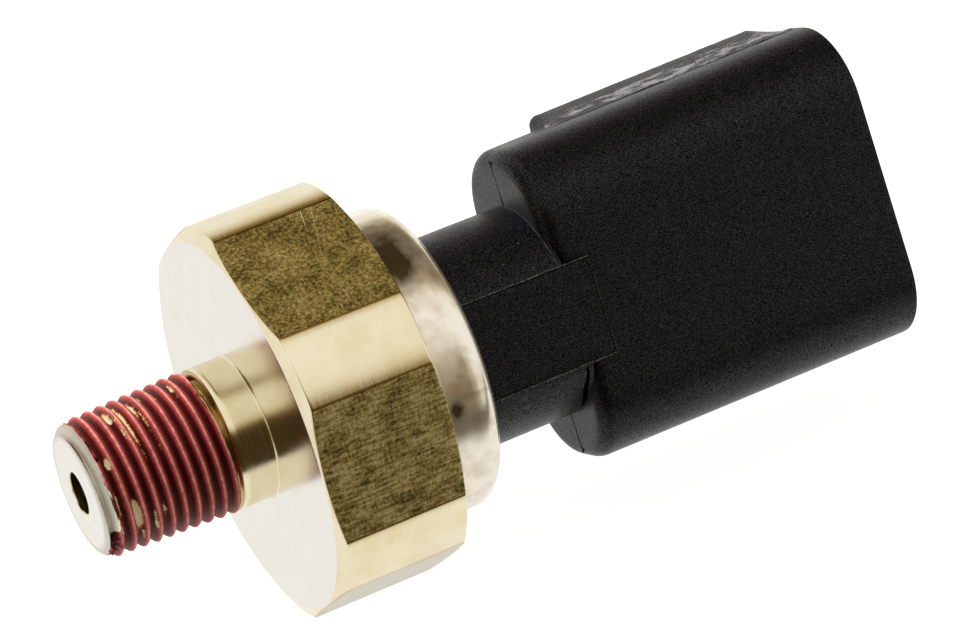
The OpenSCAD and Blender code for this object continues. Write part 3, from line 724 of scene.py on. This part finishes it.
def coat_skin():
    """The coat as one closed skin: outside, the thread's helix with shallower round grooves and lumps; past
    its ragged ends it dips under the brass. Its inside is a plain cone in the brass. The mask groove is 0 on
    the crests and 1 in the grooves, and places the painted highlight on the crests and the painted shade in the
    grooves; lee is 1 on the flanks that face the tip, where painted shade falls too; and chip is how
    far inside a chip a point lies, in millimetres."""
    x = np.arange(TIP_X + 0.03, RUN_OUT_X - 0.02, PITCH / 24)[:, None]
    columns = 320
    angle = (np.arange(columns) * 2 * math.pi / columns)[None]
    degrees = np.degrees(angle)
    turn = crest_phase(x, angle)
    t = np.abs(2 * (turn % 1) - 1)
    crown = 0.35 * t + 0.65 * (0.5 - 0.5 * np.cos(math.pi * t))
    brass = thread_r(x, angle)
    here = around_axis(x, 5.0, angle)
    grit, swell = lumps(here, 0.3, 3), lumps(here, 1.4, 5)
    outside = crest_r(x) + COAT_T - COAT_GROOVE * (1 - crown) + 0.012 * grit + 0.025 * swell
    cone = TIP_FACE_R + 0.1 + (x - TIP_X) * 0.62 + 0.04 * swell
    outside = smooth_min(outside, cone, 0.1)
    for place, middle, size, height in DROPS:
        away = np.hypot((x - place) / size, np.radians(degrees - middle) * TIP_CREST_R / size)
        outside = outside + height * np.exp(-(away**2))

    ragged = 0.10 * lumps(here, 0.45, 7) + 0.08 * lumps(here, 0.18, 11)
    start, end = round_axis(*COAT_START, degrees), round_axis(*COAT_END, degrees)
    covered = np.minimum(x - start + 1.2 * ragged, end - x + 0.5 * ragged)
    chip = np.full(outside.shape, -1.0)
    for place, middle, half_length, half_width in CHIPS:
        across = turn - crest_phase(place, math.radians(middle))
        away = 1 - np.hypot(across * PITCH / half_width, (degrees - middle) / half_length)
        chip = np.maximum(chip, np.clip(away, -4, 1) * half_width + 0.4 * ragged)
    outside = outside - 0.07 * smooth_step(chip / 0.05)
    outside = brass - 0.06 + (outside - brass + 0.06) * smooth_step(covered / 0.06)
    inner_x = x[::-24]
    inner = np.broadcast_to(crest_r(inner_x) - THREAD_DEPTH - 0.12, (len(inner_x), columns))
    inner = np.minimum(inner, TIP_FACE_R - 0.3)
    rows = np.concatenate([around_axis(x, outside, angle), around_axis(inner_x, inner, angle)])
    offset = (turn + 0.5) % 1 - 0.5
    masks = {
        "groove": np.concatenate([1 - crown, np.ones_like(inner)]),
        "lee": np.concatenate([smooth_step(-offset / 0.3), np.ones_like(inner)]),
        "chip": np.concatenate([chip, np.full_like(inner, -1)]),
    }
    return skin(rows, loop_rows=True, masks=masks)


# ---------------------------------------------------------------- connector


def rounded_rectangle(long, short, corner, side_columns=(14, 5), corner_columns=14):
    """Core points and outward normals round a rounded rectangle: a point of the outline is its core point
    plus corner times its normal, so less than corner gives an inset outline."""
    a, b = long - corner, short - corner
    core, normal = [], []
    corners = [(a, b), (-a, b), (-a, -b), (a, -b)]
    for i, here in enumerate(corners):
        t = (i + np.linspace(0, 1, corner_columns)) * math.pi / 2
        core.append(np.tile(here, (corner_columns, 1)))
        normal.append(np.stack([np.cos(t), np.sin(t)], -1))
        on = corners[(i + 1) % 4]
        s = np.linspace(0, 1, side_columns[i % 2] + 1)[1:-1, None]
        core.append(np.array(here) * (1 - s) + np.array(on) * s)
        normal.append(np.tile([math.cos(t[-1]), math.sin(t[-1])], (len(s), 1)))
    return np.concatenate(core), np.concatenate(normal)


def growth(x):
    """How far the shell has grown at x: 0 at the base, 1 at the rim."""
    return np.clip((x - GROW_X) / (GROWN_X - GROW_X), 0, 1)


def shell_skin():
    """Shell with its socket: the rounded rectangle carried in from the base, along the growing outside, over
    the rim and back down the socket. Each row states x and how far it lies inside the outer outline."""
    core, normal = rounded_rectangle(SHELL_LONG, SHELL_SHORT, SHELL_CORNER)
    outer = rounded_path([
        (SHELL_X, -SHELL_CORNER + 0.4, 0),
        (SHELL_X, 0, BASE_ROUND),
        (RIM_X, 0, RIM_ROUND),
        (RIM_X, -SHELL_WALL * 0.5, 0),
    ], steps=10)
    inner = rounded_path([
        (RIM_X, -SHELL_WALL * 0.5, 0),
        (RIM_X, -SHELL_WALL, 0.2),
        (SOCKET_X, -SHELL_WALL, 0.6),
        (SOCKET_X, -SHELL_CORNER + 0.2, 0),
    ], steps=10)
    outer, inner = subdivided(outer, 0.9), subdivided(inner, 0.9)[1:]
    x, depth = np.concatenate([outer, inner]).T
    grown = np.concatenate([growth(outer[:, 0]), np.zeros(len(inner))])[:, None]
    outline = core[None] + (SHELL_CORNER + depth)[:, None, None] * normal[None]
    rise = np.where(core[:, 0] > 0, RIM_RISE, -RIM_RISE_LOW)[None] * grown
    return skin(in_connector(x[:, None], outline[..., 0] + rise + SHELL_SHIFT, outline[..., 1]))


def neck_skin():
    """Skirt, flange and neck, turned round the axis, with the cup behind them and a flat cut on each wide
    side of the neck."""
    path = rounded_path([
        (11.1, 0.4, 0),
        (11.1, 7.4, 0.3),
        (7.2, 7.4, 0),
        (7.2, 8.5, 0.1),
        (11.0, 8.5, 0),
        (11.0, 9.85, 0.1),
        (SEAT_X - 0.01, 9.85, 0.1),
        (SEAT_X - 0.01, NECK_R, 0.15),
        (SHELL_X + 0.3, NECK_R, 0),
        (SHELL_X + 0.3, 0.4, 0),
    ])
    x, r = subdivided(path, 0.8).T
    edge = math.acos(NECK_FLAT / NECK_R)
    near = np.radians([-4, -2, -1, -0.4, 0, 0.4, 1, 2, 4])
    wide = np.linspace(-edge + 0.1, edge - 0.1, 9)
    side = np.linspace(edge + 0.1, math.pi - edge - 0.1, 40)
    half = np.sort(np.concatenate([near - edge, wide, near + edge, side]))
    angle = np.concatenate([half, half + math.pi])[None]
    radius = np.broadcast_to(r[:, None], (len(r), angle.shape[1]))
    cut = smooth_min(radius, NECK_FLAT / np.maximum(np.abs(np.cos(angle)), 0.2), 0.05)
    on_neck = (x > SEAT_X + 0.1)[:, None]
    radius = np.where(on_neck, cut, radius)
    return skin(in_connector(x[:, None], radius * np.sin(angle), radius * np.cos(angle)))


def block_grid(stations, half_width, foot, edge):
    """x, place across and height of a rib or pad: its section, a rectangle with round top edges, carried
    along x. stations are rows of (x, top), the top measured like foot from the axis."""
    x, top = np.asarray(stations, float).T
    t = np.linspace(0, math.pi / 2, 6)
    across = np.concatenate([half_width - edge + edge * np.cos(t), np.linspace(half_width - edge, edge - half_width, 11)[1:-1]])
    lift = np.concatenate([edge * (np.sin(t) - 1), np.zeros(9)])
    across = np.concatenate([across, -across[5::-1]])
    lift = np.concatenate([lift, lift[5::-1]])
    height = np.maximum(top[:, None] + lift[None], foot + 0.02)
    across = np.concatenate([across, np.linspace(-half_width, half_width, 9)[1:-1]])
    height = np.concatenate([height, np.full((len(x), 7), foot)], 1)
    return x[:, None], across[None], height


def rib_skin():
    """Keying rib on the shell's upper narrow side: a wedge whose crest lies on the far side and whose top
    falls to the shell's middle line. It is round at the base end and ramped at the mouth."""
    t = np.linspace(0, math.pi / 2, 7)
    ramp = np.linspace(0, 1, 12)[1:]
    x = np.concatenate([
        RIB_START + RIB_ROUND * (1 - np.cos(t)),
        np.linspace(RIB_START + RIB_ROUND, RIB_END - RIB_RAMP, 40)[1:],
        RIB_END - RIB_RAMP + RIB_RAMP * ramp,
    ])
    height = np.concatenate([
        RIB_HEIGHT - RIB_ROUND * (1 - np.sin(t)),
        np.full(39, RIB_HEIGHT),
        RIB_HEIGHT - (RIB_HEIGHT + RIB_RAMP_DROP) * ramp,
    ])[:, None]
    side = (SHELL_LONG + RIM_RISE * growth(x))[:, None]
    short, share, drop = np.array([
        (0.35, 0, 1.0), (0.35, -0.1, 0), (0, 0, 0), (-0.8, 0.23, 0), (-1.6, 0.46, 0), (-2.4, 0.69, 0),
        (-3.2, 0.91, 0.01), (-3.36, 0.955, 0.03), (-3.46, 0.98, 0.09), (-RIB_WIDTH, 1.0, 0.2),
        (-RIB_WIDTH, 0, 0.6), (-RIB_WIDTH, 0, 1.2), (-1.6, 0, 1.2),
    ]).T
    foot = share * np.where(share < 0, RIB_HEIGHT, height)
    worn = 0.02 * lumps(np.stack(np.broadcast_arrays(x[:, None], short[None], 0 * height), -1), 0.5, 41)
    long = side + foot - drop + np.where(share > 0, worn, 0)
    rubbed = np.clip(1.4 * np.exp(-(((short[None] + 0.95) / 0.8) ** 2)), 0, 1) * (height > 0)
    rubbed = rubbed * (0.5 + 0.5 * smooth_step((x[:, None] - RIB_START - 3) / 4))
    return skin(in_connector(x[:, None], long + SHELL_SHIFT, short[None]), masks={"rubbed": rubbed})


def pad_skin(side):
    """Pad along one flat of the neck and on over the shell's wide side, with a square end."""
    foot = SHELL_SHORT - 0.6
    top = NECK_FLAT + 0.012
    start = SEAT_X + 0.25
    stations = [(start, foot), (start, top)]
    stations += [(x, top) for x in np.linspace(start, PAD_END - 0.06, 24)[1:]]
    stations += [(PAD_END - 0.02, top - 0.03), (PAD_END, top - 0.08), (PAD_END, foot)]
    x, long, short = block_grid(stations, PAD_HALF, foot, 0.06)
    return skin(in_connector(x, long, side * short))


def flash_skin(points, out, width, height, seed, presence=0.25):
    """Ragged line of flash along (x, long, short) points: a low ridge whose height comes and goes, and which
    sinks below the surface in between, the less the higher its presence. out is the way it stands up, the
    same all along or one per point."""
    points = np.asarray(points, float)
    sides = np.linalg.norm(np.diff(points, axis=0), axis=1)
    run = np.concatenate([[0], np.cumsum(sides)])
    t = np.linspace(0, run[-1], max(int(run[-1] / 0.09), 4))
    line = np.stack([np.interp(t, run, points[:, k]) for k in range(3)], -1)
    out = np.broadcast_to(np.asarray(out, float), points.shape)
    out = np.stack([np.interp(t, run, out[:, k]) for k in range(3)], -1)
    along = np.gradient(line, axis=0)
    along /= np.linalg.norm(along, axis=1)[:, None]
    side = np.cross(along, out)
    rise = height * np.clip(presence + lumps(line, 0.8, seed) + 0.8 * lumps(line, 0.22, seed + 1), -0.25, 1)
    wander = width * 0.5 * lumps(line, 0.9, seed + 2)
    across = np.array([-1, -0.5, 0, 0.5, 1, 0]) * width
    lift = np.array([-0.5, 0.6, 1, 0.6, -0.5, -1.4])
    raised = np.where(lift > 0, lift * rise[:, None], lift * 0.05)
    place = line[:, None] + (across[None] + wander[:, None])[..., None] * side[:, None] + raised[..., None] * out[:, None]
    return skin(in_connector(place[..., 0], place[..., 1], place[..., 2]))


def terminal_skin(index):
    """Stamped terminal: its outline as seen from the flat side, with pressed edges, from the pin through
    the board to the tapered tip of the blade."""
    low, high = cad_box_mm(f"terminal_{index}")
    stations = np.array([
        (low[0], 0.34), (low[0] + 0.15, 0.4), (12.1, 0.4), (12.1, 1.2), (SOCKET_X - 1.0, 1.2), (SOCKET_X - 1.0, 0.75),
        (high[0] - 1.2, 0.75), (high[0] - 0.15, 0.42), (high[0], 0.3),
    ])
    x, half = stations.T
    thick = np.interp(x, [high[0] - 1.2, high[0]], [0.4, 0.22])
    bevel = 0.06
    corner = np.array([(1, 1, 0, -1), (1, 1, -1, 0), (-1, 1, 1, 0), (-1, 1, 0, -1), (-1, -1, 0, 1), (-1, -1, 1, 0), (1, -1, -1, 0), (1, -1, 0, 1)])
    long = half[:, None] * corner[None, :, 0] + bevel * corner[None, :, 2]
    short = thick[:, None] * corner[None, :, 1] + bevel * corner[None, :, 3]
    return skin(in_connector(x[:, None], long + (index - 2) * 4.6 + SHELL_SHIFT, short))


# ---------------------------------------------------------------- stage


# Places where the studio has no screen: azimuth, half width and softness, then elevation, half height and
# softness, all in degrees, and how dark. The first is the room behind the camera, the second a gap in the
# far screen, the third a gap at the left.
DARK_PLACES = [((-114, 49, 9), (20, 32, 9), 1.0), ((45, 35, 12), (36, 31, 13), 0.9), ((144, 19, 8), (34, 30, 8), 1.0)]
# The way to the middle of the room in front, which gives matt surfaces no light
ROOM_WAY = (-0.3, -0.8, 0.52)


def studio_world():
    """White all round for the camera; for every other ray white too, but for the dark places, which fade
    from white through tan to dark brown, as dim rooms do behind warm lamps."""
    world = bpy.data.worlds.new("studio")
    bpy.context.scene.world = world
    world.use_nodes = True
    tree = world.node_tree
    tree.nodes.clear()
    way = add(tree, "ShaderNodeSeparateXYZ", inputs={0: add(tree, "ShaderNodeTexCoord").outputs["Generated"]})
    azimuth = math_node(tree, "ARCTAN2", way.outputs[1], way.outputs[0])
    elevation = math_node(tree, "ARCSINE", way.outputs[2])
    factor = 0.0
    for (middle, wide, side_soft), (height, tall, end_soft), dark in DARK_PLACES:
        aside = math_node(tree, "SUBTRACT", azimuth, math.radians(middle))
        turn = add(tree, "ShaderNodeMath", {"operation": "WRAP"}, {0: aside, 1: math.pi, 2: -math.pi}).outputs[0]
        above = math_node(tree, "SUBTRACT", elevation, math.radians(height))
        edges = []
        for value, half, soft in ((turn, wide, side_soft), (above, tall, end_soft)):
            limits = math.radians(half + soft), math.radians(half - soft)
            edges.append(spread(tree, math_node(tree, "ABSOLUTE", value), *limits, smooth=True))
        here = math_node(tree, "MULTIPLY", math_node(tree, "MULTIPLY", *edges), dark)
        factor = math_node(tree, "MAXIMUM", factor, here)
    ramp = add(tree, "ShaderNodeValToRGB", inputs={0: factor})
    stops = ramp.color_ramp.elements
    stops[0].color, stops[1].color = linear("#FFFFFF"), linear("#3F3013")
    for position, code in ((0.3, "#E1D7BC"), (0.6, "#947A43")):
        stops.new(position).color = linear(code)
    ray = add(tree, "ShaderNodeLightPath")
    front = add(tree, "ShaderNodeVectorMath", {"operation": "DOT_PRODUCT"}, {0: way.inputs[0].links[0].from_socket, 1: ROOM_WAY})
    room = spread(tree, front.outputs["Value"], math.cos(math.radians(58)), math.cos(math.radians(34)), smooth=True)
    room = math_node(tree, "MULTIPLY", room, ray.outputs["Is Diffuse Ray"])
    seen_light = mix_color(tree, room, ramp.outputs[0], "#0A0A0A")
    screen = add(tree, "ShaderNodeBackground", inputs={0: seen_light, 1: 1.0})
    white = add(tree, "ShaderNodeBackground", inputs={0: linear("#FFFFFF"), 1: 1.0})
    seen = add(tree, "ShaderNodeMixShader", inputs={0: ray.outputs["Is Camera Ray"], 1: screen.outputs[0], 2: white.outputs[0]})
    add(tree, "ShaderNodeOutputWorld", inputs={0: seen.outputs[0]})


def white_floor():
    """White paper under the part: it glows to white where the camera and reflections see it, and still
    takes the part's soft shadow. Reflections find it dark where it runs out in front."""
    half = 0.6
    mesh = bpy.data.meshes.new("floor")
    z = FLOOR_Z * MM - 0.00002
    mesh.from_pydata([(-half, -half, z), (half, -half, z), (half, half, z), (-half, half, z)], [], [(0, 1, 2, 3)])
    floor = bpy.data.objects.new("floor", mesh)
    bpy.context.scene.collection.objects.link(floor)
    material = bpy.data.materials.new("paper_white")
    material.use_nodes = True
    tree = material.node_tree
    tree.nodes.clear()
    place = add(tree, "ShaderNodeTexCoord").outputs["Object"]
    front = add(tree, "ShaderNodeSeparateXYZ", inputs={0: place}).outputs[1]
    ends = spread(tree, front, -0.075, -0.045, smooth=True)
    tone = spread(tree, noise(tree, place, 6.0, 2), 0.3, 0.7, 0.84, 0.88)
    paper = add(tree, "ShaderNodeBsdfDiffuse", inputs={0: tone})
    shade = add(tree, "ShaderNodeBsdfDiffuse", inputs={0: linear("#C8C8C8")})
    glow = add(tree, "ShaderNodeEmission", inputs={0: linear("#FFFFFF"), 1: 0.85})
    both = add(tree, "ShaderNodeAddShader", inputs={0: shade.outputs[0], 1: glow.outputs[0]})
    dark = add(tree, "ShaderNodeEmission", inputs={0: linear("#3F3013"), 1: 1.0})
    bright = add(tree, "ShaderNodeEmission", inputs={0: linear("#FFFFFF"), 1: 1.0})
    mirrored = add(tree, "ShaderNodeMixShader", inputs={0: ends, 1: dark.outputs[0], 2: bright.outputs[0]})
    ray = add(tree, "ShaderNodeLightPath")
    shiny = math_node(tree, "MAXIMUM", ray.outputs["Is Glossy Ray"], ray.outputs["Is Transmission Ray"])
    plain = add(tree, "ShaderNodeMixShader", inputs={0: ray.outputs["Is Camera Ray"], 1: paper.outputs[0], 2: both.outputs[0]})
    mixed = add(tree, "ShaderNodeMixShader", inputs={0: shiny, 1: plain.outputs[0], 2: mirrored.outputs[0]})
    add(tree, "ShaderNodeOutputMaterial", inputs={0: mixed.outputs[0]})
    mesh.materials.append(material)


def softbox(name, toward, distance, size, radiance):
    """Square area lamp that faces the part from the given direction. It lights matt surfaces only: polished
    ones would mirror it as a blown-out square."""
    lamp = bpy.data.lights.new(name, "AREA")
    lamp.shape = "SQUARE"
    lamp.size = size
    lamp.energy = radiance * math.pi * size * size
    lamp_object = bpy.data.objects.new(name, lamp)
    bpy.context.scene.collection.objects.link(lamp_object)
    lamp_object.visible_glossy = False
    unit = np.array(toward, float) / np.linalg.norm(toward)
    lamp_object.location = tuple(unit * distance + np.array([0.018, 0, 0]))
    side = np.cross([0, 0, 1], unit)
    side = side / np.linalg.norm(side) if np.linalg.norm(side) > 1e-6 else np.array([1.0, 0, 0])
    up = np.cross(unit, side)
    lamp_object.rotation_euler = Matrix(np.stack([side, up, unit], 1).tolist()).to_euler()


def photo_camera():
    """Camera at the photograph's place, turned as fitted, with its lens."""
    camera = bpy.data.cameras.new("camera")
    camera.lens = CAMERA_LENS
    camera.sensor_width = 36
    camera_object = bpy.data.objects.new("camera", camera)
    bpy.context.scene.collection.objects.link(camera_object)
    right = np.array(CAMERA_RIGHT)
    up = -np.array(CAMERA_DOWN)
    back = np.cross(right, up)
    camera_object.rotation_euler = Matrix(np.stack([right, up, back], 1).tolist()).to_euler()
    camera_object.location = tuple(np.array(CAMERA_PLACE) * MM)
    bpy.context.scene.camera = camera_object


# ---------------------------------------------------------------- assembly

turned, faced, drawn = brass_turned(), brass_faced_highlight(), brass_drawn()
fitting, fitting_finish = fitting_skin()
scratches = [scratch_skin(*scratch) for scratch in SCRATCHES]
finishes = [fitting_finish] + [0] * len(scratches)
make_piece("brass_fitting", [fitting] + scratches, [turned, faced, drawn], "brass_body", finish=finishes)
make_piece("thread_coat", [coat_skin()], [coat_sealant()], "thread_sealant", sharp=50)

plastic = plastic_grained()
moulding = [shell_skin(), neck_skin(), rib_skin(), pad_skin(1), pad_skin(-1)]
flash, shadow_lines = [], []
for side in (-1, 1):
    top = side * (NECK_FLAT + 0.012)
    corners = [(14.4, PAD_HALF, top), (PAD_END, PAD_HALF, top), (PAD_END, -PAD_HALF, top), (14.4, -PAD_HALF, top)]
    for k in range(3):
        flash.append(flash_skin(corners[k : k + 2], (0, 0, side), (0.06, 0.04, 0.09)[k], 0.06, 20 + 3 * k + 9 * side, 0.5))
        # Just inside each pad edge: a painted shadow hairline.
        inside = np.array(corners[k : k + 2]) - [0.09, 0, 0] if k == 1 else np.array(corners[k : k + 2]) * [1, 0.975, 1]
        shadow_lines.append(flash_skin(inside, (0, 0, side), 0.05, 0.006, 50 + 3 * k + 9 * side, (1.0, 0.4, 2.0)[k]))
# Along the parting line on the base face: a painted shadow hairline, with light flash beside it.
for end in (1, -1):
    reach = SHELL_LONG - BASE_ROUND * 0.5
    face = [(SHELL_X, end * (NECK_R - 0.1), PARTING_AT), (SHELL_X, end * reach + SHELL_SHIFT, PARTING_AT)]
    shadow_lines.append(flash_skin(face, (-1, 0, 0), 0.06, 0.01, 61 + end, 2.5))
    beside = np.array(face) + [0, 0, -0.09]
    flash.append(flash_skin(beside, (-1, 0, 0), 0.04, 0.03, 65 + end, 0.4))
# Along the crease at the rib's near edge: a painted shadow hairline, with flash beside its far part.
narrow = np.linspace(RIB_START + 0.5, RIM_X - 0.6, 40)
crest = SHELL_LONG + RIM_RISE * growth(narrow) + SHELL_SHIFT + 0.012
line = np.stack([narrow, crest, 0 * narrow + 0.03], -1)
shadow_lines.append(flash_skin(line, (0, 1, 0), 0.055, 0.012, 71, 1.0))
flash.append(flash_skin(line[8:] - [0, 0, 0.12], (0, 1, 0), 0.06, 0.08, 75, 0.1))
for first, last, presence in ((4, 62, 0.25), (119, 152, 1.2)):
    turn = np.radians(np.linspace(first, last, 40))
    ring = np.stack([0 * turn + SHELL_X - 0.02, (NECK_R + 0.02) * np.cos(turn), (NECK_R + 0.02) * np.sin(turn)], -1)
    ring_out = np.stack([0 * turn - 0.7, 0.7 * np.cos(turn), 0.7 * np.sin(turn)], -1)
    flash.append(flash_skin(ring, ring_out, 0.05, 0.05, 81 + first, presence))
# Painted shadow: a black crescent in the hollow where the neck meets the base.
bow = np.sin(math.pi * np.linspace(0, 1, 40))
ring = ring - np.stack([0.1 + 0.16 * bow, 0 * bow, 0 * bow], -1)
shadow_lines.append(flash_skin(ring, ring_out * [0, 1 / 0.7, 1 / 0.7], 0.2, 0.006, 91, 2.5))
pieces = moulding + flash + shadow_lines
finishes = [0] * len(moulding) + [1] * len(flash) + [2] * len(shadow_lines)
blacks = [plastic, plastic_flash(), plastic_painted_shadow()]
make_piece("connector_moulding", pieces, blacks, "connector_housing", finish=finishes)

tin = speckled("tin_plated", "#C9C8C2", "#A9A79F", 0.25, 0.32, metallic=1.0)
for index in (1, 2, 3):
    make_piece(f"terminal_blade_{index}", [terminal_skin(index)], [tin], f"terminal_{index}", sharp=20)

rubber = speckled("rubber_nitrile", "#1B1B1B", "#101010", 0.2, 0.6)
ceramic = speckled("ceramic_alumina", "#EFEDE6", "#E2DFD4", 0.15, 0.5)
frit = speckled("glass_frit", "#98A6A2", "#7F8E8A", 0.2, 0.25)
pin = speckled("pin_plated", "#CFC7A8", "#B5AC8B", 0.2, 0.3, metallic=1.0)
nylon = speckled("nylon_natural", "#C9C5B4", "#B9B4A1", 0.4, 0.5)
board = speckled("laminate_lacquered", "#1E6A43", "#175537", 0.35, 0.3)
epoxy = speckled("epoxy_moulded", "#26262A", "#17171A", 0.1, 0.55)
fired = speckled("capacitor_fired", "#A98B63", "#957852", 0.12, 0.45)
FINISHES = {
    "pressure_seal_ring": rubber,
    "housing_seal_ring": rubber,
    "ceramic_diaphragm": ceramic,
    "ceramic_base": ceramic,
    "glass_seal_ring": frit,
    "support_ring": nylon,
    "circuit_board": board,
    "signal_chip": epoxy,
    "chip_resistor_1": epoxy,
    "chip_resistor_2": epoxy,
    "chip_capacitor_1": fired,
    "chip_capacitor_2": fired,
    "chip_capacitor_3": fired,
    "element_pin_1": pin,
    "element_pin_2": pin,
    "element_pin_3": pin,
    "element_pin_4": pin,
}
for node, material in FINISHES.items():
    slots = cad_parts[node].material_slots
    for slot in slots:
        slot.material = material

studio_world()
white_floor()
softbox("back_softbox", (-0.3, 0.7, 0.65), 0.5, 0.4, 5.2)
photo_camera()
view = bpy.context.scene.view_settings
view.view_transform = "Standard"
